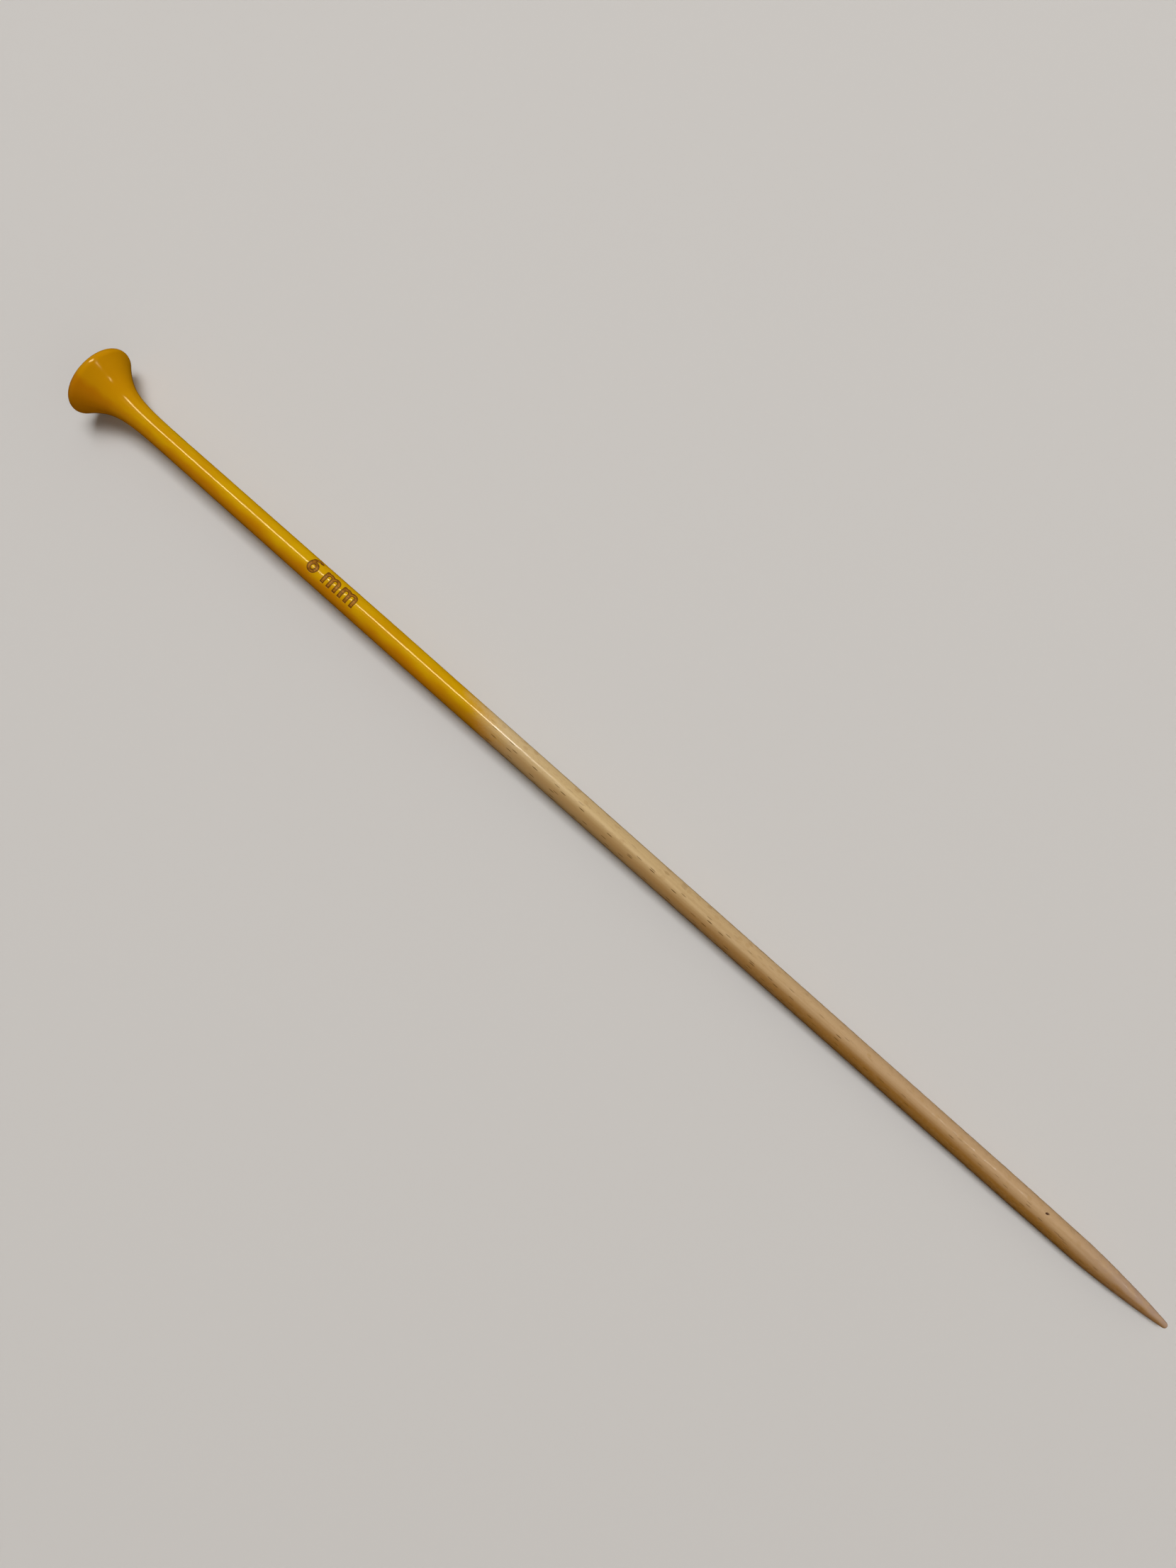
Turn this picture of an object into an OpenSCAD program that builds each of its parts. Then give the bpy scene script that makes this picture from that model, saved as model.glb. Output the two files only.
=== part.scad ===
/* [Needle] */
// Length over all, from the head's end face to the tip
needle_length = 330; // [250:1:400]
// Diameter of the straight stretch of the shaft
shaft_d = 6; // [5:0.25:8]

/* [Head] */
// Diameter over the rim of the flared head
head_d = 17.1; // [14:0.1:22]
// Length of the head, from its end face to the seam at the neck
head_length = 24; // [20:0.5:30]
// Radius of the rounded lip round the rim
lip_r = 1.15; // [0.8:0.05:2]
// Angle between the flare and the needle's axis where the flare leaves the lip
lip_angle = 42; // [25:1:50]
// How far the flare follows the lip's direction, as a curve handle
flare_lip_reach = 8; // [4:0.5:10]
// How far the flare follows the neck's direction, as a curve handle
flare_neck_reach = 13.8; // [9:0.1:16]
// How much the neck is thinner than the shaft, on the diameter
neck_thinning = 0.5; // [0:0.05:0.6]

/* [Joint between head and shaft] */
// Diameter of the spigot turned on the shaft's end
spigot_d = 4; // [3:0.1:4.3]
// Length of the spigot
spigot_length = 14; // [9:0.5:17]
// Chamfer on the spigot's end
spigot_chamfer = 0.4; // [0.2:0.1:0.8]
// Clearance all round the spigot, filled by glue
glue_gap = 0.1; // [0.05:0.01:0.2]
// Depth of the glue pocket past the spigot's end
glue_pocket = 0.8; // [0.4:0.1:1.5]

/* [Shaft] */
// Distance from the end face at which the shaft has its full diameter
full_diameter_at = 90; // [45:1:120]
// Distance from the tip at which the shaft begins to slim
slimming_length = 46; // [36:1:80]
// How much the shoulder of the point is thinner than the shaft, on the diameter
shoulder_thinning = 0.3; // [0.1:0.02:1]

/* [Point] */
// Length of the point, from its shoulder to the tip
point_length = 27.4; // [20:0.2:34]
// How far the point's curve follows the shaft at the shoulder, as a curve handle
shoulder_reach = 2.6; // [1.5:0.1:8]
// How far the point's curve follows the tip's side, as a curve handle
tip_reach = 11.4; // [6:0.1:12]
// Angle between the point's side and the axis where the round tip begins
tip_angle = 7.5; // [4:0.5:14]
// Radius of the round tip
tip_r = 0.82; // [0.5:0.02:1.2]

/* [Hidden] */

// Flat bands that an arc or a curve is drawn with
lip_bands = 14;
flare_bands = 32;
point_bands = 32;
tip_bands = 10;
// Sides of a circle
round_sides = 96;

rim_r = head_d / 2;
shaft_r = shaft_d / 2;
neck_r = (shaft_d - neck_thinning) / 2;
shoulder_r = (shaft_d - shoulder_thinning) / 2;
spigot_r = spigot_d / 2;
bore_r = spigot_r + glue_gap;
spigot_end = head_length - spigot_length;
bore_end = spigot_end - glue_pocket;
slimming_at = needle_length - slimming_length;
shoulder_at = needle_length - point_length;

// An outline point is [distance from the axis, distance from the end face]
function arc(centre, r, from, to, steps) =
    [for (i = [0:steps]) let (a = from + (to - from) * i / steps)
        centre + r * [cos(a), sin(a)]];
// A cubic curve from a to d whose handles are b and c
function curve_point(a, b, c, d, t) =
    pow(1 - t, 3) * a + 3 * pow(1 - t, 2) * t * b
    + 3 * (1 - t) * pow(t, 2) * c + pow(t, 3) * d;
function curve(a, b, c, d, steps) =
    [for (i = [1:steps]) curve_point(a, b, c, d, i / steps)];
function unit(v) = v / norm(v);

// The lip turns from the end face to the flare, which runs on to the neck
lip = arc([rim_r - lip_r, lip_r], lip_r, -90, 90 - lip_angle, lip_bands);
flare_start = lip[lip_bands];
flare_way = [-sin(lip_angle), cos(lip_angle)];
neck = [neck_r, head_length];
flare = curve(flare_start, flare_start + flare_lip_reach * flare_way,
    neck - [0, flare_neck_reach], neck, flare_bands);

// The shaft slims from its full diameter to the shoulder, then curves to the tip
slimming = [shaft_r, slimming_at];
shoulder = [shoulder_r, shoulder_at];
tip_centre = [0, needle_length - tip_r];
tip = arc(tip_centre, tip_r, tip_angle, 90, tip_bands);
tip_way = [-sin(tip_angle), cos(tip_angle)];
point = curve(shoulder, shoulder + shoulder_reach * unit(shoulder - slimming),
    tip[0] - tip_reach * tip_way, tip[0], point_bands);
tip_rest = [for (i = [1:tip_bands - 1]) tip[i]];
tip_end = [0, needle_length];
outside = concat(lip, flare, [[shaft_r, full_diameter_at], slimming, shoulder],
    point, tip_rest, [tip_end]);

// The needle lies on its rim and on the point, so its axis falls towards the tip
rim_centre = [rim_r - lip_r, lip_r];
function tilt_to(p) =
    let (across = rim_centre[0] - p[0], along = p[1] - rim_centre[1])
    atan2(across, along) + asin(lip_r / norm([across, along]));
rest_tilt = min([for (p = concat([shoulder], point)) tilt_to(p)]);
axis_height = max([for (p = outside) p[1] * sin(rest_tilt) + p[0] * cos(rest_tilt)]);
reach_back = min([for (p = outside) p[1] * cos(rest_tilt) - p[0] * sin(rest_tilt)]);
reach_front = max([for (p = outside) p[1] * cos(rest_tilt) + p[0] * sin(rest_tilt)]);

// Turns an outline round the axis and lays it down, head at -X and tip at +X
module turned(outline) {
    translate([-(reach_back + reach_front) / 2, 0, axis_height])
        rotate([0, 90 + rest_tilt, 0])
            rotate_extrude($fn = round_sides) polygon(outline);
}

// Beech rod: spigot, neck, straight stretch, slimming and point
module shaft() {
    color("burlywood")
        turned(concat(
            [[0, spigot_end], [spigot_r - spigot_chamfer, spigot_end],
                [spigot_r, spigot_end + spigot_chamfer], [spigot_r, head_length],
                neck, [shaft_r, full_diameter_at], slimming, shoulder],
            point, tip_rest, [tip_end]));
}

// Turned stopper head with a blind hole for the spigot
module head() {
    color("goldenrod")
        turned(concat([[0, 0]], lip, flare,
            [[bore_r, head_length], [bore_r, bore_end], [0, bore_end]]));
}

// Glue that fills the hole round and past the spigot
module glue_film() {
    color("beige")
        turned([[0, bore_end], [bore_r, bore_end], [bore_r, head_length],
            [spigot_r, head_length], [spigot_r, spigot_end + spigot_chamfer],
            [spigot_r - spigot_chamfer, spigot_end], [0, spigot_end]]);
}

shaft();
head();
glue_film();
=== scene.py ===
"""The looks of a straight wooden knitting needle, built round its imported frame."""

import math
from typing import NamedTuple

import bpy
import numpy as np
from mathutils import Matrix, Vector


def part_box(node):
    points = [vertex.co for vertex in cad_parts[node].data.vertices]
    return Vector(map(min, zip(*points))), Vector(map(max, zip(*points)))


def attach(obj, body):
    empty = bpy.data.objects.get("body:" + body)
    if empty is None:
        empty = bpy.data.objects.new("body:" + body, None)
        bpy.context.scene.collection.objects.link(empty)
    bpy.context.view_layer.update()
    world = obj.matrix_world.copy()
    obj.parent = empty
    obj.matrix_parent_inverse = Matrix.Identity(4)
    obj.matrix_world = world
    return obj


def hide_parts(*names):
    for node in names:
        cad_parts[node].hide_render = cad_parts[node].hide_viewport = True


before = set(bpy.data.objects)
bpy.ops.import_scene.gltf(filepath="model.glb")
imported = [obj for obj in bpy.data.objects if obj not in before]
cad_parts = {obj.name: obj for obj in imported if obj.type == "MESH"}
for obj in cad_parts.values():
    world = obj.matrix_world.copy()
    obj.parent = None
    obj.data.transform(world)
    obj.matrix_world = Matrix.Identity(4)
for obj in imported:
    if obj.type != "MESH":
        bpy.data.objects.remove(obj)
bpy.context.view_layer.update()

bl_info = {
    "name": "Knitting Needle",
    "version": (1, 0, 0),
    "blender": (4, 5, 0),
    "location": "3D View > Sidebar > Needle",
    "description": "Builds the shaft and head of a straight knitting needle",
    "category": "Add Mesh",
}

MM = 0.001
# How finely the surfaces are drawn
ROUND_SIDES = 128
LIP_BANDS = 16
FLARE_BANDS = 56
POINT_BANDS = 60
TIP_BANDS = 12
RING_STEP = 1.5 * MM
FINE_RING_STEP = 0.11 * MM
FINE_TURN_STEP = math.radians(1.25)
COARSE_TURN_STEP = math.radians(5)
BOWL_STEPS = 48
ARCH_STEPS = 24
# The turns between which the rings are fine, since the mark and the flaws lie there
FINE_TURNS = math.radians(-35), math.radians(75)
# Edges sharper than this aren't shaded smooth
SHARP_EDGE = math.radians(50)


def length(name, description, default):
    """A size property in metres."""
    return bpy.props.FloatProperty(
        name=name, description=description, default=default, min=0.0,
        subtype="DISTANCE", unit="LENGTH", precision=5)


def angle(name, description, degrees):
    """An angle property, given in degrees."""
    return bpy.props.FloatProperty(
        name=name, description=description, default=math.radians(degrees),
        subtype="ANGLE", unit="ROTATION")


def colour(name, description, default):
    """A linear colour property."""
    return bpy.props.FloatVectorProperty(
        name=name, description=description, default=default, size=3,
        min=0.0, max=1.0, subtype="COLOR")


def amount(name, description, default):
    """A plain number property."""
    return bpy.props.FloatProperty(name=name, description=description, default=default, min=0.0)


class NeedleSizes(bpy.types.PropertyGroup):
    """Sizes of the needle, the same as the solids'."""

    needle_length: length("Length", "From the head's end face to the tip", 330 * MM)
    shaft_d: length("Shaft diameter", "Across the straight stretch", 6 * MM)
    head_d: length("Head diameter", "Over the rim of the head", 17.1 * MM)
    head_length: length("Head length", "From the end face to the seam at the neck", 24 * MM)
    lip_r: length("Lip radius", "Radius of the rounded lip", 1.15 * MM)
    lip_angle: angle("Lip angle", "Between the flare and the axis at the lip", 42)
    flare_lip_reach: length("Flare reach at lip", "Curve handle at the lip", 8 * MM)
    flare_neck_reach: length("Flare reach at neck", "Curve handle at the neck", 13.8 * MM)
    neck_thinning: length("Neck thinning", "Neck thinner than the shaft", 0.5 * MM)
    spigot_d: length("Spigot diameter", "Across the spigot in the head", 4 * MM)
    spigot_length: length("Spigot length", "Length of the spigot", 14 * MM)
    spigot_chamfer: length("Spigot chamfer", "Chamfer on the spigot's end", 0.4 * MM)
    glue_gap: length("Glue gap", "Clearance round the spigot", 0.1 * MM)
    glue_pocket: length("Glue pocket", "Depth past the spigot's end", 0.8 * MM)
    full_diameter_at: length("Full diameter at", "Where the shaft is full size", 90 * MM)
    slimming_length: length("Slimming", "Tip to where slimming begins", 46 * MM)
    shoulder_thinning: length("Shoulder thinning", "Thinner at the shoulder", 0.3 * MM)
    point_length: length("Point length", "From the shoulder to the tip", 27.4 * MM)
    shoulder_reach: length("Shoulder reach", "Curve handle at the shoulder", 2.6 * MM)
    tip_reach: length("Tip reach", "Curve handle at the tip", 11.4 * MM)
    tip_angle: angle("Tip angle", "Side of the point at the round tip", 7.5)
    tip_r: length("Tip radius", "Radius of the round tip", 0.82 * MM)


class NeedleMarks(bpy.types.PropertyGroup):
    """The burnt size mark and the flaws near the point, along the needle and round it."""

    mark_at: length("Mark at", "From the end face to the mark's first stroke", 63.8 * MM)
    mark_turn: angle("Mark turn", "Turn of the mark's baseline from the top", -16)
    stroke: length("Stroke", "Width of the mark's strokes", 0.96 * MM)
    burn_depth: length("Burn depth", "How deep the mark is burnt in", 0.07 * MM)
    digit_w: length("Digit width", "Width of the 6", 2.85 * MM)
    digit_h: length("Digit height", "Height of the 6", 4.6 * MM)
    bowl_h: length("Bowl height", "Height of the 6's bowl", 3.1 * MM)
    tail_at: amount("Tail at", "Middle of the 6's tail, as a share of its width", 0.66)
    tail_end: angle("Tail end", "Where the 6's tail stops, from its right", 72)
    letter_w: length("Letter width", "Width of each m", 4.4 * MM)
    letter_h: length("Letter height", "Height of each m", 3.4 * MM)
    first_letter: length("First letter", "From the mark's start to the first m", 4.6 * MM)
    second_letter: length("Second letter", "From the mark's start to the second m", 9.6 * MM)
    pit_at: length("Pit at", "From the end face to the small pit", 289.4 * MM)
    pit_turn: angle("Pit turn", "Turn of the pit from the top", 29)
    pit_length: length("Pit length", "Along the needle", 1.15 * MM)
    pit_width: length("Pit width", "Round the needle", 0.62 * MM)
    pit_depth: length("Pit depth", "Depth of the pit", 0.45 * MM)
    crack_at: length("Crack at", "From the end face to the crack", 293 * MM)
    crack_turn: angle("Crack turn", "Turn of the crack from the top", -14)
    crack_length: length("Crack length", "Length of the crack", 3.6 * MM)
    crack_width: length("Crack width", "Width of the crack", 0.15 * MM)
    crack_depth: length("Crack depth", "Depth of the crack", 0.12 * MM)


class NeedleFinish(bpy.types.PropertyGroup):
    """Colours and lacquer of the needle, and the colour of the stage."""

    lacquer: colour("Lacquer", "Yellow of the head", (0.54, 0.308, 0.001))
    # Deep lacquer: the thick coat on the head and in clouds, and painted shade on the -Y side
    deep_and_shaded_lacquer: colour("Deep lacquer", "Where the coat is thick", (0.435, 0.16, 0.0004))
    thin_coat: colour("Thin coat", "Olive where the wood shows through", (0.20, 0.125, 0.004))
    gleam: colour("Gleam", "Tint of what the lacquer reflects", (1.0, 0.80, 0.42))
    varnish: colour("Varnish", "Tint of what the varnished wood reflects", (1.0, 0.93, 0.82))
    fade_at: length("Fade at", "Where the yellow begins to thin", 110.5 * MM)
    fade_length: length("Fade length", "How far the yellow takes to fade", 14 * MM)
    grain_turn: angle("Grain turn", "Turn of the wood's rays from upright, towards -Y", 38)
    beech_light: colour("Light beech", "Pale growth of the wood", (0.545, 0.405, 0.21))
    beech_dark: colour("Dark beech", "Dense growth of the wood", (0.475, 0.345, 0.17))
    # Painted light: the +Y side of the wood by the lacquer is made paler
    painted_light_beech: colour("Sap beech", "Palest growth, near the lacquer", (0.60, 0.455, 0.25))
    # Painted shade: brown laid on the -Y side of the wood, away from the light
    painted_shade_beech: colour("Heart beech", "Brown growth on the -Y side", (0.25, 0.115, 0.02))
    beech_fibre: colour("Beech fibre", "Fine long fibres", (0.33, 0.20, 0.085))
    beech_ray: colour("Beech ray", "Short dark dashes", (0.08, 0.035, 0.008))
    beech_pink: colour("Pink beech", "Wood toward the point", (0.43, 0.285, 0.155))
    beech_fleck: colour("Beech fleck", "Soft blotches of the rays", (0.36, 0.22, 0.085))
    worn_tip: colour("Worn tip", "Greyed wood at the tip", (0.335, 0.23, 0.17))
    # A near-black colour laid into the pit and the crack
    flaw: colour("Flaw", "Dirt in the pit and the crack", (0.06, 0.02, 0.01))
    burn_rim: colour("Burn rim", "Rim of the burnt mark", (0.06, 0.011, 0.0005))
    burn_fill: colour("Burn fill", "Middle of the burnt mark", (0.34, 0.128, 0.008))
    glue: colour("Glue", "Cured wood glue", (0.78, 0.70, 0.50))
    bubble: colour("Bubble", "Bubbles in the glue", (0.6, 0.5, 0.3))
    floor: colour("Floor", "Pale studio floor", (0.572, 0.566, 0.56))


class NeedleStudio(bpy.types.PropertyGroup):
    """Camera and light."""

    lens: amount("Lens", "Focal length in millimetres for a 36 mm sensor", 24.41)
    key_power: amount("Key light", "Power of the large lamp in watts", 75)
    glint_power: amount("Glint light", "Power of the lamp that shows in the gloss, in watts", 300)
    head_spot_power: amount("Head spot", "Power of the small lamp seen in the head", 3.15)
    point_spot_power: amount("Point spot", "Power of the small lamp seen in the point", 6.3)
    sky: colour("Sky", "Tint of the even light", (1.0, 0.86, 0.70))
    sky_low: amount("Dim sky", "Strength of the even light on the -Y side", 0.08)
    sky_high: amount("Bright sky", "Strength of the even light on the +Y side", 0.54)
    backdrop: amount("Backdrop", "Strength of the backdrop that the camera and the gloss see", 0.55)


def unit(vector):
    """The vector at length one."""
    return vector / np.linalg.norm(vector)


def smooth(value, low, high):
    """Nought where the value is at low, one where it is at high and a smooth step between."""
    t = np.clip((value - low) / (high - low), 0, 1)
    return t * t * (3 - 2 * t)


def arc(centre, radius, start, end, steps):
    """Points on an ellipse from one angle to another: the centre plus the radius, which may be
    one for each way, times cosine and sine."""
    turn = np.linspace(start, end, steps + 1)[:, None]
    return np.asarray(centre) + radius * np.hstack([np.cos(turn), np.sin(turn)])


def cubic(a, b, c, d, steps):
    """A cubic curve from a to d with handles b and c, without its first point."""
    t = np.linspace(0, 1, steps + 1)[1:, None]
    return (1 - t) ** 3 * a + 3 * (1 - t) ** 2 * t * b + 3 * (1 - t) * t ** 2 * c + t ** 3 * d


def steps_between(a, b, step):
    """Even values from a to b without b, no further apart than the step."""
    count = max(math.ceil((b - a) / step), 1)
    return np.linspace(a, b, count, endpoint=False)


class Outline:
    """The needle's outline: rows of [distance from the axis, distance from the end face]."""

    def __init__(self, size):
        rim_r = size.head_d / 2
        shaft_r = size.shaft_d / 2
        self.neck = np.array([(size.shaft_d - size.neck_thinning) / 2, size.head_length])
        lip_top = math.pi / 2 - size.lip_angle
        self.lip = arc([rim_r - size.lip_r, size.lip_r], size.lip_r,
                       -math.pi / 2, lip_top, LIP_BANDS)
        flare_way = np.array([-math.sin(size.lip_angle), math.cos(size.lip_angle)])
        self.flare = cubic(
            self.lip[-1], self.lip[-1] + size.flare_lip_reach * flare_way,
            self.neck - [0, size.flare_neck_reach], self.neck, FLARE_BANDS)
        full = np.array([shaft_r, size.full_diameter_at])
        slimming = np.array([shaft_r, size.needle_length - size.slimming_length])
        self.shoulder = np.array([(size.shaft_d - size.shoulder_thinning) / 2,
                                  size.needle_length - size.point_length])
        self.straight = np.vstack([self.neck, full, slimming, self.shoulder])
        tip = arc([0, size.needle_length - size.tip_r], size.tip_r,
                  size.tip_angle, math.pi / 2, TIP_BANDS)
        tip_way = np.array([-math.sin(size.tip_angle), math.cos(size.tip_angle)])
        point = cubic(
            self.shoulder, self.shoulder + size.shoulder_reach * unit(self.shoulder - slimming),
            tip[0] - size.tip_reach * tip_way, tip[0], POINT_BANDS)
        tip[-1] = [0, size.needle_length]
        self.front = np.vstack([point, tip[1:]])
        outside = np.vstack([self.lip, self.flare, self.straight[1:], self.front])
        self.lay_down(outside, rim_r - size.lip_r, size.lip_r)

    def lay_down(self, outside, lip_out, lip_r):
        """The needle rests on its lip and its point: the tilt touches both, and the middle of its
        length goes to zero."""
        front = outside[outside[:, 1] >= self.shoulder[1]]
        across, along = lip_out - front[:, 0], front[:, 1] - lip_r
        tilt = np.arctan2(across, along) + np.arcsin(lip_r / np.hypot(across, along))
        self.tilt = float(tilt.min())
        low = outside[:, 1] * math.sin(self.tilt) + outside[:, 0] * math.cos(self.tilt)
        back = outside[:, 1] * math.cos(self.tilt) - outside[:, 0] * math.sin(self.tilt)
        ahead = outside[:, 1] * math.cos(self.tilt) + outside[:, 0] * math.sin(self.tilt)
        self.start = np.array([-(back.min() + ahead.max()) / 2, 0.0, low.max()])

    def place(self, along, out, turn):
        """Points in the frame from distance along the axis, distance out from it and turn
        about it, which is zero at the top and grows towards +Y."""
        c, s = math.cos(self.tilt), math.sin(self.tilt)
        side = out * np.sin(turn)
        up = out * np.cos(turn)
        x = self.start[0] + along * c + up * s
        z = self.start[2] - along * s + up * c
        return np.stack([x, side, z], axis=-1)


def mesh_object(name, points, faces):
    """A smooth mesh object at the origin, with its sharp edges kept sharp."""
    mesh = bpy.data.meshes.new(name)
    mesh.from_pydata(points.tolist(), [], faces)
    mesh.shade_smooth()
    mesh.set_sharp_from_angle(angle=SHARP_EDGE)
    mesh.update()
    piece = bpy.data.objects.new(name, mesh)
    bpy.context.scene.collection.objects.link(piece)
    return piece


def even_turns(sides=ROUND_SIDES):
    """Even turns about the axis, with the seam underneath."""
    return np.linspace(-math.pi, math.pi, sides, endpoint=False)


def turned(name, outline, rows, turns, sink=0.0):
    """A closed surface of revolution: each row of [out, along] becomes a ring of points about the
    axis, each pulled in by its sink, and the first and last rows, which lie on the axis, become
    single points joined by fans."""
    sides = len(turns)
    rings = rows[1:-1]
    out = rings[:, :1] - np.broadcast_to(sink, (len(rings), sides))
    along = np.broadcast_to(rings[:, 1:], out.shape)
    skin = outline.place(along, out, np.broadcast_to(turns, out.shape)).reshape(-1, 3)
    ends = outline.place(rows[[0, -1], 1], np.zeros(2), np.zeros(2))
    i = np.arange(len(rings) - 1)[:, None]
    j = np.arange(sides)
    k = (j + 1) % sides
    quads = np.stack([i * sides + j, i * sides + k,
                      (i + 1) * sides + k, (i + 1) * sides + j], axis=-1).reshape(-1, 4)
    base = (len(rings) - 1) * sides
    start_fan = np.stack([np.full(sides, len(skin)), k, j], axis=-1)
    end_fan = np.stack([base + j, base + k, np.full(sides, len(skin) + 1)], axis=-1)
    faces = quads.tolist() + start_fan.tolist() + end_fan.tolist()
    piece = mesh_object(name, np.vstack([skin, ends]), faces)
    write_uvs(piece, rows, turns)
    return piece


def write_uvs(piece, rows, turns):
    """UVs for a turned piece: u is the share of the outline's length and v the share of a turn,
    from the seam underneath."""
    run = np.concatenate([[0], np.cumsum(np.linalg.norm(np.diff(rows, axis=0), axis=1))])
    u = run / run[-1]
    v = (np.append(turns, math.pi) + math.pi) / (2 * math.pi)
    near, far = u[1:-2, None] + 0 * v[:-1], u[2:-1, None] + 0 * v[:-1]
    low, high = v[:-1] + 0 * near, v[1:] + 0 * near
    quads = np.stack([np.stack([near, near, far, far], -1),
                      np.stack([low, high, high, low], -1)], -1).reshape(-1, 2)
    one, middle = np.ones(len(turns)), (v[:-1] + v[1:]) / 2
    start = np.stack([np.stack([0 * one, u[1] * one, u[1] * one], -1),
                      np.stack([middle, v[1:], v[:-1]], -1)], -1).reshape(-1, 2)
    end = np.stack([np.stack([u[-2] * one, u[-2] * one, one], -1),
                    np.stack([v[:-1], v[1:], middle], -1)], -1).reshape(-1, 2)
    layer = piece.data.uv_layers.new(name="UVMap")
    layer.data.foreach_set("uv", np.vstack([quads, start, end]).astype(np.float32).ravel())


def write_share(piece, name, share):
    """A share for each point of a turned piece, with nought at its two ends."""
    layer = piece.data.attributes.new(name, "FLOAT", "POINT")
    layer.data.foreach_set("value", np.append(share.ravel(), [0, 0]).astype(np.float32))


def path_distance(points, path):
    """Distance from each point to a path: the least of its distances to the path's straight
    steps, where the foot on a step is held between the step's ends."""
    step = np.diff(path, axis=0)
    gap = points[:, None, :] - path[:-1]
    share = np.clip((gap * step).sum(-1) / (step ** 2).sum(-1), 0, 1)
    return np.linalg.norm(gap - share[..., None] * step, axis=-1).min(axis=1)


def digit_paths(marks):
    """The 6, as a round bowl and a tail that leaves its left side and curls to the right. The
    start of the mark is at nought, x runs along the needle and y up from the baseline."""
    half = marks.stroke / 2
    middle = np.array([marks.digit_w / 2, marks.bowl_h / 2])
    bowl = arc(middle, middle - half, 0, 2 * math.pi, BOWL_STEPS)
    tail_x = marks.tail_at * marks.digit_w
    tail_reach = np.array([tail_x - half, marks.digit_h - half - middle[1]])
    tail = arc([tail_x, middle[1]], tail_reach, math.pi, marks.tail_end, ARCH_STEPS)
    return [bowl, tail]


def letter_paths(marks, left):
    """One m, as three legs that run past the baseline and two round arches."""
    half = marks.stroke / 2
    reach = (marks.letter_w - marks.stroke) / 4
    spring = marks.letter_h - half - reach
    foot = -marks.stroke
    legs = left + half + 2 * reach * np.arange(3)
    paths = [np.array([[legs[0], foot], [legs[0], marks.letter_h - half]])]
    for leg, end in zip(legs, legs[1:]):
        arch = arc([leg + reach, spring], reach, math.pi, 0, ARCH_STEPS)
        paths.append(np.vstack([arch, [end, foot]]))
    return paths


# Shares of a stroke: how soft the burnt edge is, and how far in the dark rim starts to fade and
# is gone
BURN_EDGE = 0.07
RIM_FROM, RIM_TO = 0.13, 0.34
# How far the pit leans over, and its brim and its bed as shares of its half width
PIT_LEAN = 0.7
PIT_BRIM, PIT_BED = 1.15, 0.55
# The crack's waves, as height in crack widths, radians over its length and radians at its start
CRACK_WAVES = ((0.5, 7, 0), (0.4, 19, 1))
# The crack's brim and bed as shares of its half width, its tone and its least width squared
CRACK_BRIM, CRACK_BED = 1.2, 0.2
CRACK_TONE = 0.7
CRACK_LEAST = 0.0001


def mark_depth(marks, flat):
    """How far each point lies inside the mark's strokes: half a stroke less its distance to the
    nearest path, and no more than its height over the baseline."""
    paths = (digit_paths(marks) + letter_paths(marks, marks.first_letter)
             + letter_paths(marks, marks.second_letter))
    away = np.min([path_distance(flat, path) for path in paths], axis=0)
    return np.minimum(marks.stroke / 2 - away, flat[:, 1])


def burn(marks, along, turn, radius):
    """Shares of the burnt mark and of its dark rim on a grid over the shaft."""
    flat = np.stack([along - marks.mark_at, radius * (turn - marks.mark_turn)], -1)
    span = marks.second_letter + marks.letter_w
    near = ((flat > -marks.stroke).all(-1) & (flat[..., 0] < span + marks.stroke)
            & (flat[..., 1] < marks.digit_h + marks.stroke))
    depth = np.full(along.shape, -marks.stroke)
    depth[near] = mark_depth(marks, flat[near])
    edge = BURN_EDGE * marks.stroke
    share = smooth(depth, -edge, edge)
    return share, share * smooth(-depth, -RIM_TO * marks.stroke, -RIM_FROM * marks.stroke)


def flaws(marks, along, turn, radius):
    """Shares of the pit, a lopsided oval dent, and of the crack, which wavers as a sum of two
    sines along its length and thins to its ends."""
    pit_x = (along - marks.pit_at) / (marks.pit_length / 2)
    pit_y = radius * (turn - marks.pit_turn) / (marks.pit_width / 2)
    pit = smooth(-np.hypot(pit_x, pit_y - PIT_LEAN * pit_x), -PIT_BRIM, -PIT_BED)
    run = (along - marks.crack_at) / marks.crack_length
    waver = sum(height * np.sin(rate * run + start) for height, rate, start in CRACK_WAVES)
    crack_y = radius * (turn - marks.crack_turn) - waver * marks.crack_width
    half = marks.crack_width / 2 * np.sqrt(np.clip(4 * run * (1 - run), CRACK_LEAST, 1))
    inside = (run > 0) & (run < 1)
    crack = CRACK_TONE * smooth(-np.abs(crack_y) / half, -CRACK_BRIM, -CRACK_BED)
    return pit, np.where(inside, crack, 0.0)


class Ramp(NamedTuple):
    """A smooth step: the value at_low up to low and the value at_high from high on."""

    low: float
    high: float
    at_low: float = 0.0
    at_high: float = 1.0

    def over(self, span):
        """The ramp whose ends were given as shares of a span."""
        return self._replace(low=self.low * span, high=self.high * span)


class Noise(NamedTuple):
    """A noise: its scale per millimetre along the axis and both ways across, how many finer
    octaves it has and how strong they are."""

    scale: tuple
    detail: float = 2.0
    rough: float = 0.5


class Specks(NamedTuple):
    """Oval specks: cells per millimetre along the axis and across, a speck's radius in cells and
    the share of the cells that hold one."""

    scale: tuple
    radius: float
    chosen: float


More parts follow.
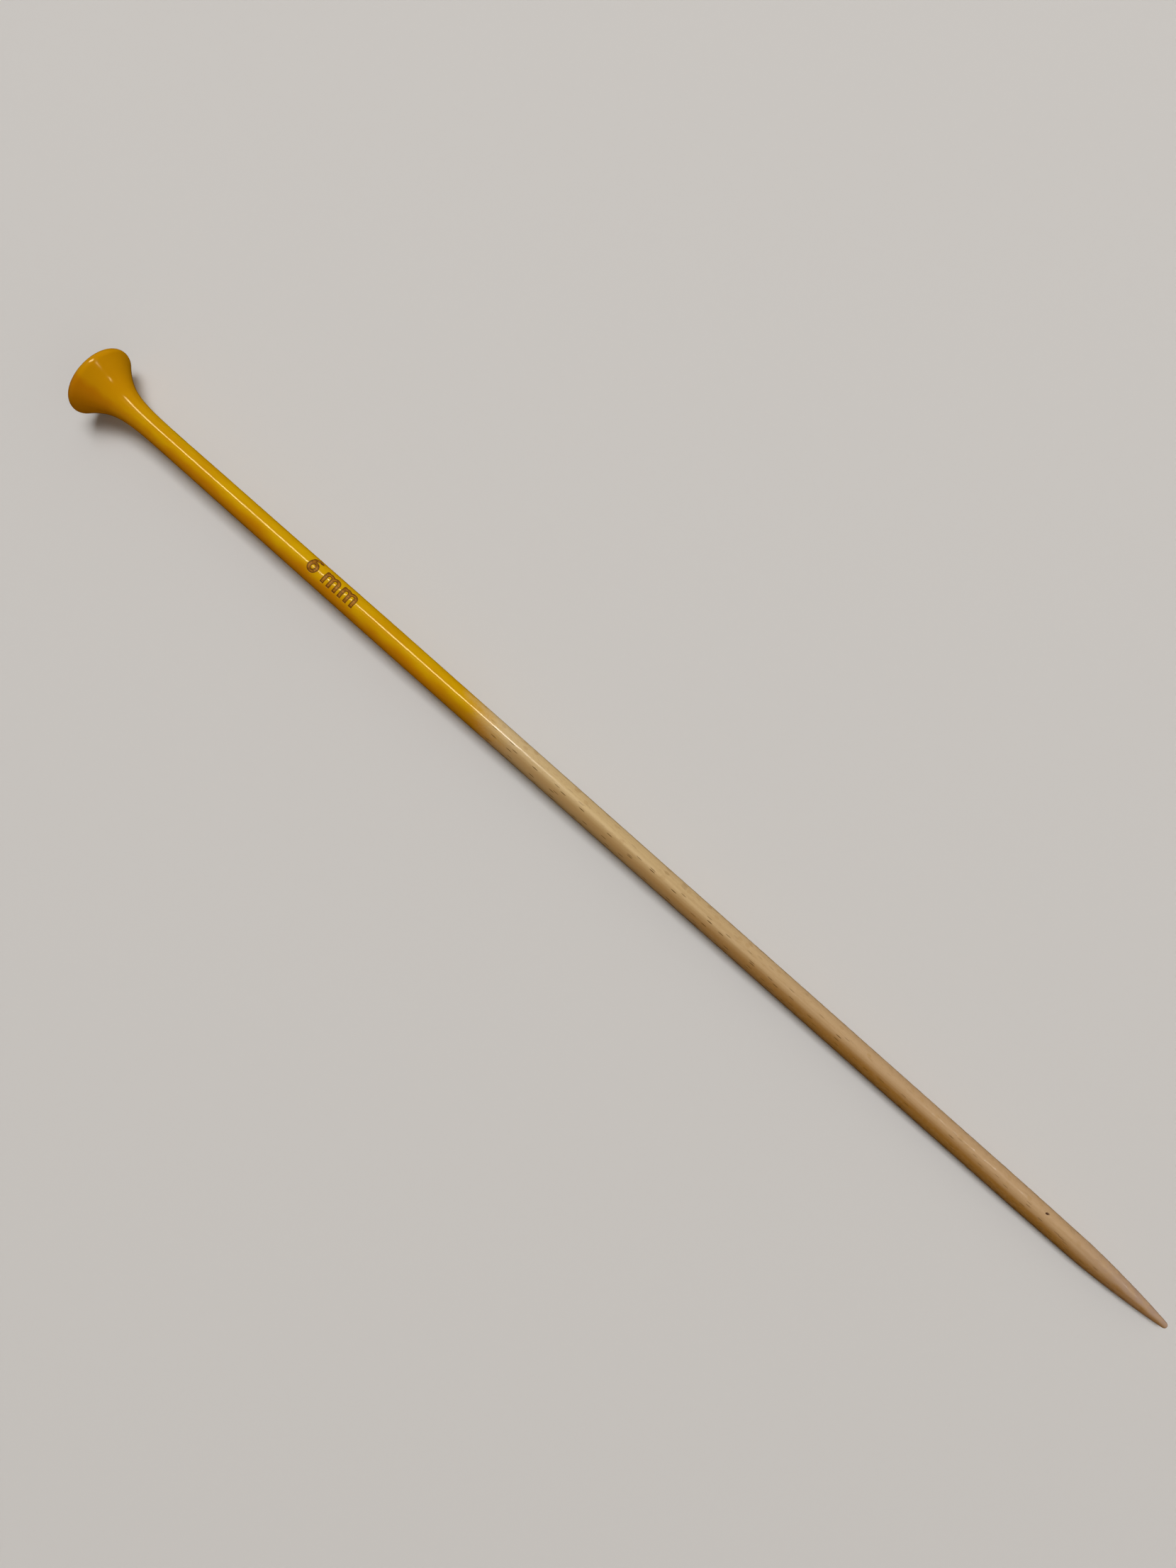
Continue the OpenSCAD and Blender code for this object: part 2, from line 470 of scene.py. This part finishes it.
class Nodes:
    """Short calls that add shader nodes to one tree and join them."""

    def __init__(self, tree):
        self.tree = tree

    def add(self, kind, settings=None, **inputs):
        """A node of that kind; inputs are joined if they are sockets and set if they are values."""
        node = self.tree.nodes.new(kind)
        for key, value in (settings or {}).items():
            setattr(node, key, value)
        for key, value in inputs.items():
            self.join(node.inputs[key.replace("_", " ")], value)
        return node

    def join(self, socket, value):
        """Joins a socket to an input, or sets the input's value."""
        if isinstance(value, bpy.types.NodeSocket):
            self.tree.links.new(value, socket)
        else:
            socket.default_value = value

    def vector(self, operation, a, b):
        """One sum of two vectors."""
        node = self.add("ShaderNodeVectorMath", {"operation": operation})
        self.join(node.inputs[0], a)
        self.join(node.inputs[1], b)
        return node.outputs[0]

    def parts(self, vector):
        """The three parts of a vector."""
        return self.add("ShaderNodeSeparateXYZ", None, Vector=vector).outputs

    def math(self, operation, a, b=0.0):
        """One sum of two numbers."""
        node = self.add("ShaderNodeMath", {"operation": operation})
        self.join(node.inputs[0], a)
        self.join(node.inputs[1], b)
        return node.outputs[0]

    def times(self, first, *others):
        """The product of all the numbers."""
        for other in others:
            first = self.math("MULTIPLY", first, other)
        return first

    def plus(self, first, *others):
        """The sum of all the numbers."""
        for other in others:
            first = self.math("ADD", first, other)
        return first

    def sway(self, noise, reach):
        """A noise turned into a sway of half the reach either way."""
        return self.times(self.math("SUBTRACT", noise, 0.5), reach)

    def step(self, value, ramp):
        """The ramp's smooth step at the value."""
        node = self.add("ShaderNodeMapRange", {"interpolation_type": "SMOOTHSTEP"})
        for socket, part in zip(node.inputs, (value, *ramp)):
            self.join(socket, part)
        return node.outputs[0]

    def blend(self, share, a, b):
        """Number a where share is nought and b where it is one."""
        node = self.add("ShaderNodeMix", {"data_type": "FLOAT"}, Factor=share)
        sockets = [s for s in node.inputs if s.type == "VALUE" and s.name in "AB"]
        self.join(sockets[0], a)
        self.join(sockets[1], b)
        return next(s for s in node.outputs if s.type == "VALUE")

    def mix(self, share, a, b):
        """Colour a where share is nought and b where it is one."""
        node = self.add("ShaderNodeMix", {"data_type": "RGBA"})
        sockets = [s for s in node.inputs if s.type == "RGBA"]
        self.join(node.inputs["Factor"], share)
        self.join(sockets[0], rgba(a))
        self.join(sockets[1], rgba(b))
        return next(s for s in node.outputs if s.type == "RGBA")


def rgba(value):
    """A colour property as four numbers; a socket stays as it is."""
    return value if isinstance(value, bpy.types.NodeSocket) else (*value, 1.0)


# How much of a speck is its full dark core, how dark the faintest is, and how sharply cells are
# chosen
SPECK_CORE = 0.6
SPECK_FAINTEST = 0.6
SPECK_SWITCH = 0.02


class Finish(Nodes):
    """A material and the needle's own coordinates in it, in millimetres: x runs along the axis
    from the end face, y across and z up from the axis, and for the grain they are turned about
    the axis so that z runs along the wood's rays."""

    def __init__(self, name, outline, grain_turn=0.0):
        self.material = bpy.data.materials.new(name)
        self.material.use_nodes = True
        super().__init__(self.material.node_tree)
        self.bsdf = self.tree.nodes["Principled BSDF"]
        coords = self.add("ShaderNodeTexCoord").outputs["Object"]
        start = tuple(outline.start)
        level = self.add("ShaderNodeVectorRotate", {"rotation_type": "AXIS_ANGLE"},
                         Vector=coords, Center=start, Axis=(0, 1, 0), Angle=-outline.tilt)
        moved = self.vector("SUBTRACT", level.outputs[0], start)
        self.here = self.vector("MULTIPLY", moved, (1 / MM, 1 / MM, 1 / MM))
        self.grain = self.add("ShaderNodeVectorRotate", {"rotation_type": "AXIS_ANGLE"},
                              Vector=self.here, Axis=(1, 0, 0), Angle=-grain_turn).outputs[0]

    def noise(self, vector, kind):
        """A noise from nought to one."""
        return self.add("ShaderNodeTexNoise", None, Scale=1.0, Detail=kind.detail,
                        Roughness=kind.rough,
                        Vector=self.vector("MULTIPLY", vector, kind.scale)).outputs["Fac"]

    def specks(self, across, kind):
        """Oval specks that lie along the axis: a cell's random colour chooses it and sets how
        dark its speck is."""
        flat = self.add("ShaderNodeCombineXYZ", None, X=self.parts(self.here)[0], Y=across)
        cell = self.add("ShaderNodeTexVoronoi", {"voronoi_dimensions": "2D"}, Scale=1.0,
                        Vector=self.vector("MULTIPLY", flat.outputs[0], kind.scale))
        pick = self.parts(cell.outputs["Color"])
        inside = self.step(cell.outputs["Distance"],
                           Ramp(SPECK_CORE * kind.radius, kind.radius, 1.0, 0.0))
        strong = self.step(pick[1], Ramp(0.0, 1.0, SPECK_FAINTEST, 1.0))
        least = 1 - kind.chosen
        return self.times(inside, strong, self.step(pick[0], Ramp(least, least + SPECK_SWITCH)))

    def share(self, name):
        """A share that the mesh holds for each point."""
        return self.add("ShaderNodeAttribute", {"attribute_name": name}).outputs["Fac"]

    def bump(self, height, distance):
        """A bump of that many metres, joined to the shader."""
        node = self.add("ShaderNodeBump", None, Height=height, Distance=distance)
        self.join(self.bsdf.inputs["Normal"], node.outputs[0])


# Noises
CLOUDS = Noise((0.10, 0.22, 0.22), 3.0)
LACQUER_SHADE_WANDER = Noise((0.15, 0.25, 0.25))
WAVES = Noise((0.35, 0.8, 0.8))
COAT_GRAIN = Noise((2.0, 3.0, 3.0), 1.0)
GROWTH = Noise((0.012, 0.35, 1.1), 3.0, 0.55)
MOTTLE = Noise((0.9, 2.6, 2.6), 3.0, 0.6)
FIBRES = Noise((0.25, 4.5, 4.5), 2.0, 0.6)
SMUDGES = Noise((0.30, 0.6, 0.6), 3.0)
FADE_WANDER = Noise((0.14, 0.5, 0.5))
SPRAY = Noise((2.4, 2.4, 2.4))
CHAR = Noise((1.2, 3.0, 3.0))
SHEEN = Noise((0.5, 1.1, 1.1), 3.0)
BUBBLES = Noise((1.5, 1.5, 1.5))
# Specks of the wood
FLECKS = Specks((0.32, 0.5, 0.0), 0.27, 0.4)
DASHES = Specks((0.14, 1.6, 0.0), 0.14, 0.6)
# Tones by the value of a noise
CLOUD_TONE = Ramp(0.3, 0.7, 0.0, 0.35)
GROWTH_TONE = Ramp(0.36, 0.64)
MOTTLE_TONE = Ramp(0.50, 0.74, 0.0, 0.3)
SMUDGE_TONE = Ramp(0.28, 0.60, 0.4, 1.0)
CHAR_TONE = Ramp(0.38, 0.66, 0.0, 0.65)
BUBBLE_TONE = Ramp(0.4, 0.7, 0.0, 0.4)
# Tones across the needle, in millimetres towards +Y, and for the two depths from the axis
# Painted shade: the lacquer is made deeper on the -Y side, away from the light
LACQUER_SHADE_SIDE = Ramp(-2.2, 0.8, 1.0, 0.0)
# Painted light: the wood is made paler on the +Y side, toward the light
LIT_SIDE_ACROSS = Ramp(-0.5, 1.0)
# Painted shade: the wood is made browner on the -Y side
BEECH_SHADE_SIDE = Ramp(-1.7, 1.3, 1.0, 0.0)
WORN_SIDE = Ramp(-1.4, 0.6, 0.24, 0.9)
THIN_COAT_SIDE = Ramp(-1.5, 1.5, 1.0, 0.0)
FLECK_DEPTH = Ramp(1.0, 2.4, 0.0, 0.45)
DASH_DEPTH = Ramp(1.4, 2.5, 0.2, 1.0)
# Tones along the head, as shares of its length
HEAD_TONE = Ramp(0.25, 1.0, 0.6, 0.0)
# Scales the side along the head for the painted shade of the lacquer
HEAD_NARROWS = Ramp(0.25, 1.0, 0.65, 1.0)
# Tones along the needle, as shares of its length
# Painted light: the paler +Y side reaches only so far from the lacquer
LIT_SIDE_ALONG = Ramp(0.33, 0.46, 0.7, 0.0)
PINK_ALONG = Ramp(0.40, 0.78, 0.0, 0.95)
# Painted shade: the -Y side grows browner toward the point
BEECH_SHADE_ALONG = Ramp(0.40, 0.72, 0.56, 1.0)
DASHES_ALONG = Ramp(0.55, 0.85, 1.0, 0.65)
DULL_ALONG = Ramp(0.38, 0.75)
# Where the greying begins and is complete, in millimetres from the tip
GREY_FROM, GREY_TO = 38, 6
# How much the side tones, the painted shade among them, stretch by the tip
POINT_STRETCH = 2.5
# Millimetres that an edge sways by noise, and that the fade leans for each one towards +Y
LACQUER_SHADE_SWAY = 3.0
BEECH_SHADE_SWAY = 3.0
FADE_SWAY = 9.0
SPRAY_SWAY = 5.0
FADE_LEAN = 1.06
# Where the thin coat turns olive, in millimetres from the start of the fade, and how much
THIN_COAT = Ramp(-12.5, 3.5, 0.0, 0.3)
# The dashes show through where little lacquer covers them
DASHES_SHOW = Ramp(0.4, 1.0, 1.0, 0.0)
BURN_SHARE = 0.95
# How much the surface reflects and how rough it is, and what dull wood and the marks add
SHINE = 0.07
LACQUER_ROUGH = 0.13
DULL_WOOD = Ramp(0.38, 0.56, 0.40, 0.03)
MARK_ROUGH = 0.35
GLUE_ROUGH = 0.5
# Heights of the bumps, as shares of the tallest
BUMP = 0.03 * MM
WAVE_HEIGHT, GRAIN_HEIGHT, FIBRE_HEIGHT = 0.32, 0.14, 0.3


def lacquer_colour(n, finish, size):
    """Yellow that is deeper where the coat is thick, on the head and in slow clouds, and
    deeper on the -Y side as painted shade, as far as an edge that wanders."""
    along, side, _ = n.parts(n.here)
    head = size.head_length / MM
    # Painted shade: deeper lacquer on the -Y side, away from the light
    narrow = n.times(side, n.step(along, HEAD_NARROWS.over(head)))
    run = n.step(n.plus(narrow, n.sway(n.noise(n.here, LACQUER_SHADE_WANDER), LACQUER_SHADE_SWAY)), LACQUER_SHADE_SIDE)
    cloud = n.step(n.noise(n.here, CLOUDS), CLOUD_TONE)
    thick = n.step(along, HEAD_TONE.over(head))
    deep = n.math("MAXIMUM", thick, n.math("MAXIMUM", cloud, run))
    return n.mix(deep, finish.lacquer, finish.deep_and_shaded_lacquer)


def coat_waves(n):
    """The slow waves and the fine grain of a sprayed coat."""
    return n.plus(n.times(n.noise(n.here, WAVES), WAVE_HEIGHT),
                  n.times(n.noise(n.here, COAT_GRAIN), GRAIN_HEIGHT))


def lacquer_material(outline, finish, size):
    """Glossy yellow lacquer with a faint orange-peel."""
    n = Finish("yellow_lacquer", outline)
    n.join(n.bsdf.inputs["Base Color"], lacquer_colour(n, finish, size))
    n.bsdf.inputs["Specular IOR Level"].default_value = SHINE
    n.bsdf.inputs["Specular Tint"].default_value = rgba(finish.gleam)
    n.bsdf.inputs["Roughness"].default_value = LACQUER_ROUGH
    n.bump(coat_waves(n), BUMP)
    return n.material


def side_share(n, size, along):
    """Millimetres towards +Y, stretched where the point narrows so that a side tone, such as
    the painted shade of the -Y side, keeps its place on the side."""
    total = size.needle_length / MM
    shoulder = total - size.point_length / MM
    stretch = n.step(along, Ramp(shoulder, total, 1.0, POINT_STRETCH))
    return n.times(n.parts(n.here)[1], stretch)


def beech_colour(n, finish, size, along):
    """Beech: long pale and dark growth along the axis, with painted light that makes the +Y side
    palest by the lacquer and painted shade that makes the -Y side browner, more so toward the
    point, with a fine mottle and soft flecks where the rays lie in the surface."""
    total = size.needle_length / MM
    growth = n.noise(n.grain, GROWTH)
    wood = n.mix(n.step(growth, GROWTH_TONE), finish.beech_dark, finish.beech_light)
    wood = n.mix(n.step(along, PINK_ALONG.over(total)), wood, finish.beech_pink)
    # Painted light: the +Y side near the lacquer, toward the light, is made paler
    lit_side_share = n.times(n.step(along, LIT_SIDE_ALONG.over(total)), n.step(n.parts(n.here)[1], LIT_SIDE_ACROSS))
    wood = n.mix(lit_side_share, wood, finish.painted_light_beech)
    # Painted shade: the -Y side, away from the light, is made browner, more so toward the point
    side = n.plus(side_share(n, size, along), n.sway(growth, BEECH_SHADE_SWAY))
    beech_shade_share = n.times(n.step(side, BEECH_SHADE_SIDE), n.step(along, BEECH_SHADE_ALONG.over(total)))
    wood = n.mix(beech_shade_share, wood, finish.painted_shade_beech)
    wood = n.mix(n.step(n.noise(n.grain, MOTTLE), MOTTLE_TONE), wood, finish.beech_fibre)
    _, across, depth = n.parts(n.grain)
    lying = n.step(n.math("ABSOLUTE", across), FLECK_DEPTH)
    return n.mix(n.times(n.specks(depth, FLECKS), lying), wood, finish.beech_fleck)


def beech_rays(n, size, along):
    """The rays that end at the surface, as short thin dark dashes; fewer toward the point."""
    _, across, depth = n.parts(n.grain)
    ends = n.step(n.math("ABSOLUTE", depth), DASH_DEPTH)
    fewer = n.step(along, DASHES_ALONG.over(size.needle_length / MM))
    return n.times(n.specks(across, DASHES), ends, fewer)


def worn_point(n, finish, size, wood, along):
    """Handling has greyed the tip in smudges."""
    total = size.needle_length / MM
    smudge = n.step(n.noise(n.here, SMUDGES), SMUDGE_TONE)
    near = n.step(along, Ramp(total - GREY_FROM, total - GREY_TO))
    grey = n.times(near, smudge, n.step(side_share(n, size, along), WORN_SIDE))
    return n.mix(grey, wood, finish.worn_tip)


def yellow_share(n, finish, along):
    """How much lacquer covers the wood: all at the head, then a fade that is a little longer on
    the -Y side and grainy, as a spray is."""
    lean = n.times(n.parts(n.here)[1], FADE_LEAN)
    edge = n.sway(n.noise(n.here, FADE_WANDER), FADE_SWAY)
    spray = n.sway(n.noise(n.here, SPRAY), SPRAY_SWAY)
    start = finish.fade_at / MM
    end = start + finish.fade_length / MM
    return n.step(n.plus(along, lean, edge, spray), Ramp(start, end, 1.0, 0.0))


def thin_coat(n, finish, coat, along):
    """How olive the lacquer turns where the fade thins it over the wood of the -Y side."""
    past = n.math("SUBTRACT", along, finish.fade_at / MM)
    return n.times(coat, n.step(past, THIN_COAT), n.step(n.parts(n.here)[1], THIN_COAT_SIDE))


def burnt_tone(n, finish):
    """Brown with patches of char, and the dark rim of the mark."""
    fill = n.mix(n.step(n.noise(n.here, CHAR), CHAR_TONE), finish.burn_fill, finish.burn_rim)
    return n.mix(n.share("burn_rim"), fill, finish.burn_rim)


def shaft_roughness(n, size, along):
    """Glossy, with dull patches on the bare wood toward the point and in the marks."""
    bare = n.step(along, DULL_ALONG.over(size.needle_length / MM))
    dull = n.times(bare, n.step(n.noise(n.here, SHEEN), DULL_WOOD))
    marks = n.times(n.math("MAXIMUM", n.share("burn"), n.share("flaw")), MARK_ROUGH)
    return n.plus(LACQUER_ROUGH, dull, marks)


def shaft_material(outline, finish, size):
    """Varnished beech whose head end is sprayed yellow, with the size mark burnt in."""
    n = Finish("beech", outline, finish.grain_turn)
    along = n.parts(n.here)[0]
    coat = yellow_share(n, finish, along)
    skin = worn_point(n, finish, size, beech_colour(n, finish, size, along), along)
    skin = n.mix(coat, skin, lacquer_colour(n, finish, size))
    skin = n.mix(thin_coat(n, finish, coat, along), skin, finish.thin_coat)
    rays = n.times(beech_rays(n, size, along), n.step(coat, DASHES_SHOW))
    skin = n.mix(rays, skin, finish.beech_ray)
    skin = n.mix(n.times(n.share("burn"), BURN_SHARE), skin, burnt_tone(n, finish))
    # The pit and the crack are made near-black
    n.join(n.bsdf.inputs["Base Color"], n.mix(n.share("flaw"), skin, finish.flaw))
    n.bsdf.inputs["Specular IOR Level"].default_value = SHINE
    n.join(n.bsdf.inputs["Specular Tint"], n.mix(coat, finish.varnish, finish.gleam))
    n.join(n.bsdf.inputs["Roughness"], shaft_roughness(n, size, along))
    bare = n.math("SUBTRACT", 1.0, coat)
    n.bump(n.plus(coat_waves(n), n.times(bare, n.noise(n.grain, FIBRES), FIBRE_HEIGHT)), BUMP)
    return n.material


def glue_material(outline, finish):
    """Cured glue with small bubbles."""
    n = Finish("wood_glue", outline)
    bubble = n.noise(n.here, BUBBLES)
    n.join(n.bsdf.inputs["Base Color"],
           n.mix(n.step(bubble, BUBBLE_TONE), finish.glue, finish.bubble))
    n.bsdf.inputs["Roughness"].default_value = GLUE_ROUGH
    n.bump(bubble, BUMP)
    return n.material


def needle_parts(context):
    """The sizes, the finish and the outline worked out from them, which has to fit the frame."""
    size = context.scene.needle_sizes
    outline = Outline(size)
    tip = outline.place(size.needle_length, 0.0, 0.0)
    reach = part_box("shaft")[1][0]
    if abs(tip[0] - reach) > size.tip_r:
        raise RuntimeError("the needle's sizes don't match the frame")
    return size, context.scene.needle_finish, outline


def settle(piece, material, node):
    """Gives a piece its material, body and slot, and the solid that it stands for."""
    piece.data.materials.append(material)
    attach(piece, "root")
    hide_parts(node)


def shaft_turns():
    """Turns about the axis for the shaft's rings: close together over the top, where the mark
    and the flaws are, and wider underneath."""
    low, high = FINE_TURNS
    return np.concatenate([steps_between(-math.pi, low, COARSE_TURN_STEP),
                           steps_between(low, high, FINE_TURN_STEP),
                           steps_between(high, math.pi, COARSE_TURN_STEP)])


def shaft_rows(size, marks, outline):
    """The shaft's rows: the spigot, then rings along the straight stretches, close together at
    the mark and at the flaws, and then the point."""
    spigot_r = size.spigot_d / 2
    spigot_end = size.head_length - size.spigot_length
    margin = marks.stroke / 2
    stops = [(outline.neck[1], RING_STEP),
             (marks.mark_at - margin, FINE_RING_STEP),
             (marks.mark_at + marks.second_letter + marks.letter_w + margin, RING_STEP),
             (marks.pit_at - marks.pit_length, FINE_RING_STEP),
             (marks.crack_at + marks.crack_length + margin, RING_STEP),
             (outline.shoulder[1], RING_STEP)]
    along = np.concatenate([steps_between(start, end, step)
                            for (start, step), (end, _) in zip(stops, stops[1:])])
    corners = outline.straight[:, 1]
    along = np.unique(np.append(along, corners))
    straight = np.stack([np.interp(along, corners, outline.straight[:, 0]), along], -1)
    return np.vstack([[0, spigot_end], [spigot_r - size.spigot_chamfer, spigot_end],
                      [spigot_r, spigot_end + size.spigot_chamfer],
                      [spigot_r, size.head_length], straight, outline.front])


class NEEDLE_OT_shaft(bpy.types.Operator):
    """Turns the beech shaft with its spigot, neck and point, and burns in the size mark"""

    bl_idname = "needle.shaft"
    bl_label = "Shaft"

    def execute(self, context):
        size, finish, outline = needle_parts(context)
        marks = context.scene.needle_marks
        rows, turns = shaft_rows(size, marks, outline), shaft_turns()
        along, turn = np.meshgrid(rows[1:-1, 1], turns, indexing="ij")
        radius = size.shaft_d / 2
        burnt, rim = burn(marks, along, turn, radius)
        pit, crack = flaws(marks, along, turn, radius)
        sink = marks.burn_depth * burnt + marks.pit_depth * pit + marks.crack_depth * crack
        piece = turned("needle_shaft", outline, rows, turns, sink)
        write_share(piece, "burn", burnt)
        write_share(piece, "burn_rim", rim)
        write_share(piece, "flaw", np.maximum(pit, crack))
        settle(piece, shaft_material(outline, finish, size), "shaft")
        return {"FINISHED"}


class NEEDLE_OT_head(bpy.types.Operator):
    """Turns the flared head with its blind hole"""

    bl_idname = "needle.head"
    bl_label = "Head"

    def execute(self, context):
        size, finish, outline = needle_parts(context)
        bore_r = size.spigot_d / 2 + size.glue_gap
        bore_end = size.head_length - size.spigot_length - size.glue_pocket
        face = steps_between(0.0, outline.lip[0, 0], RING_STEP)
        rows = np.vstack([np.stack([face, 0 * face], -1), outline.lip, outline.flare,
                          [bore_r, size.head_length], [bore_r, bore_end], [0, bore_end]])
        piece = turned("stopper_head", outline, rows, even_turns())
        settle(piece, lacquer_material(outline, finish, size), "head")
        return {"FINISHED"}


class NEEDLE_OT_glue(bpy.types.Operator):
    """Gives the glue in the head its finish"""

    bl_idname = "needle.glue"
    bl_label = "Glue"

    def execute(self, context):
        size, finish, outline = needle_parts(context)
        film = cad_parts["glue_film"]
        film.data.materials.clear()
        film.data.materials.append(glue_material(outline, finish))
        return {"FINISHED"}


class Lamp(NamedTuple):
    """A rectangular lamp: its place, its size, and the way its long side lies."""

    place: tuple
    size: tuple
    along: tuple = (1, 0, 0)


# Lamps and floor, in metres from the middle of the needle
KEY = Lamp((-0.50, 0.66, 3.0), (1.68, 1.15))
GLINT = Lamp((-0.89, 1.67, 3.0), (1.85, 0.42), (1, 0.42, 0))
SPOT_HEAD = Lamp((1.50, 0.99, 0.95), (0.07, 0.07))
SPOT_POINT = Lamp((1.06, 1.14, 1.26), (0.2, 0.12))
FLOOR_HALF = 3.0
FLOOR_ROUGH = 0.9
FLOOR_SHINE = 0.1
# The way in which the sky brightens, how far off it the sky begins to, and the horizon's edge
SKY_WAY = (0.8, 0.6, 0.0)
SKY_FROM, SKY_TO = -0.35, 0.6
HORIZON = Ramp(-0.05, 0.05)


def add_floor(finish):
    """A plain pale floor far wider than the needle."""
    corners = np.array([[-1, -1, 0], [1, -1, 0], [1, 1, 0], [-1, 1, 0]])
    floor = mesh_object("floor", FLOOR_HALF * corners, [[0, 1, 2, 3]])
    material = bpy.data.materials.new("floor")
    material.use_nodes = True
    bsdf = material.node_tree.nodes["Principled BSDF"]
    bsdf.inputs["Base Color"].default_value = rgba(finish.floor)
    bsdf.inputs["Roughness"].default_value = FLOOR_ROUGH
    bsdf.inputs["Specular IOR Level"].default_value = FLOOR_SHINE
    floor.data.materials.append(material)
    floor.visible_glossy = False


def add_sky(scene, studio):
    """Even light from above that grows from -Y towards +Y and +X; the camera and the gloss see
    a pale backdrop."""
    world = bpy.data.worlds.new("soft_light")
    world.use_nodes = True
    scene.world = world
    n = Nodes(world.node_tree)
    way = n.add("ShaderNodeTexCoord").outputs["Generated"]
    toward = n.add("ShaderNodeVectorMath", {"operation": "DOT_PRODUCT"})
    n.join(toward.inputs[0], way)
    n.join(toward.inputs[1], SKY_WAY)
    light = n.step(toward.outputs["Value"],
                   Ramp(SKY_FROM, SKY_TO, studio.sky_low, studio.sky_high))
    rays = n.add("ShaderNodeLightPath").outputs
    above = n.step(n.parts(way)[2], HORIZON)
    around = n.times(above, n.blend(rays["Is Glossy Ray"], light, studio.backdrop))
    background = world.node_tree.nodes["Background"]
    background.inputs["Color"].default_value = rgba(studio.sky)
    n.join(background.inputs["Strength"],
           n.blend(rays["Is Camera Ray"], around, studio.backdrop))


def add_lamp(scene, name, kind, power):
    """A soft rectangular lamp that faces the needle."""
    lamp = bpy.data.lights.new(name, "AREA")
    lamp.shape = "RECTANGLE"
    lamp.size, lamp.size_y = kind.size
    lamp.energy = power
    thing = bpy.data.objects.new(name, lamp)
    thing.location = kind.place
    aim(thing, (0, 0, 0), kind.along)
    scene.collection.objects.link(thing)
    return thing


def aim(thing, target, right):
    """Turns an object so that its -Z looks at the target and its X lies near right."""
    look = (Vector(target) - thing.location).normalized()
    side = (Vector(right) - look * look.dot(Vector(right))).normalized()
    up = side.cross(look)
    thing.rotation_euler = Matrix((side, up, -look)).transposed().to_euler()


# The camera's place, the point that it looks at and the way to its right, in metres
CAMERA_AT = (-0.02268, 0.00515, 0.25008)
CAMERA_TARGET = (-0.02075, 0.00515, 0.0)
CAMERA_RIGHT = (0.74781, 0.66389, 0.00577)
SENSOR_WIDTH = 36.0
NEAREST = 0.01


def add_camera(scene, studio):
    """The camera looks straight down, with the needle slanting across its frame."""
    lens = bpy.data.cameras.new("camera")
    lens.lens = studio.lens
    lens.sensor_width = SENSOR_WIDTH
    lens.clip_start = NEAREST
    view = bpy.data.objects.new("camera", lens)
    view.location = CAMERA_AT
    aim(view, CAMERA_TARGET, CAMERA_RIGHT)
    scene.collection.objects.link(view)
    scene.camera = view


class NEEDLE_OT_stage(bpy.types.Operator):
    """Sets the floor, the light and the camera"""

    bl_idname = "needle.stage"
    bl_label = "Stage"

    def execute(self, context):
        scene = context.scene
        studio = scene.needle_studio
        add_floor(scene.needle_finish)
        add_sky(scene, studio)
        key = add_lamp(scene, "key", KEY, studio.key_power)
        key.visible_glossy = False
        for glint in (add_lamp(scene, "glint", GLINT, studio.glint_power),
                      add_lamp(scene, "spot_head", SPOT_HEAD, studio.head_spot_power),
                      add_lamp(scene, "spot_point", SPOT_POINT, studio.point_spot_power)):
            glint.visible_diffuse = False
        add_camera(scene, studio)
        scene.view_settings.view_transform = "Standard"
        return {"FINISHED"}


class NEEDLE_PT_panel(bpy.types.Panel):
    """Lists the needle's operators"""

    bl_idname = "NEEDLE_PT_panel"
    bl_label = "Knitting Needle"
    bl_space_type = "VIEW_3D"
    bl_region_type = "UI"
    bl_category = "Needle"

    def draw(self, context):
        for operator in OPERATORS:
            self.layout.operator(operator.bl_idname)


OPERATORS = (NEEDLE_OT_shaft, NEEDLE_OT_head, NEEDLE_OT_glue, NEEDLE_OT_stage)
SETTINGS = {"needle_sizes": NeedleSizes, "needle_marks": NeedleMarks,
            "needle_finish": NeedleFinish, "needle_studio": NeedleStudio}
CLASSES = (*SETTINGS.values(), *OPERATORS, NEEDLE_PT_panel)


def register():
    for part in CLASSES:
        bpy.utils.register_class(part)
    for name, group in SETTINGS.items():
        setattr(bpy.types.Scene, name, bpy.props.PointerProperty(type=group))


def unregister():
    for name in SETTINGS:
        delattr(bpy.types.Scene, name)
    for part in reversed(CLASSES):
        bpy.utils.unregister_class(part)


def main():
    register()
    bpy.ops.needle.shaft()
    bpy.ops.needle.head()
    bpy.ops.needle.glue()
    bpy.ops.needle.stage()


if __name__ == "__main__":
    main()
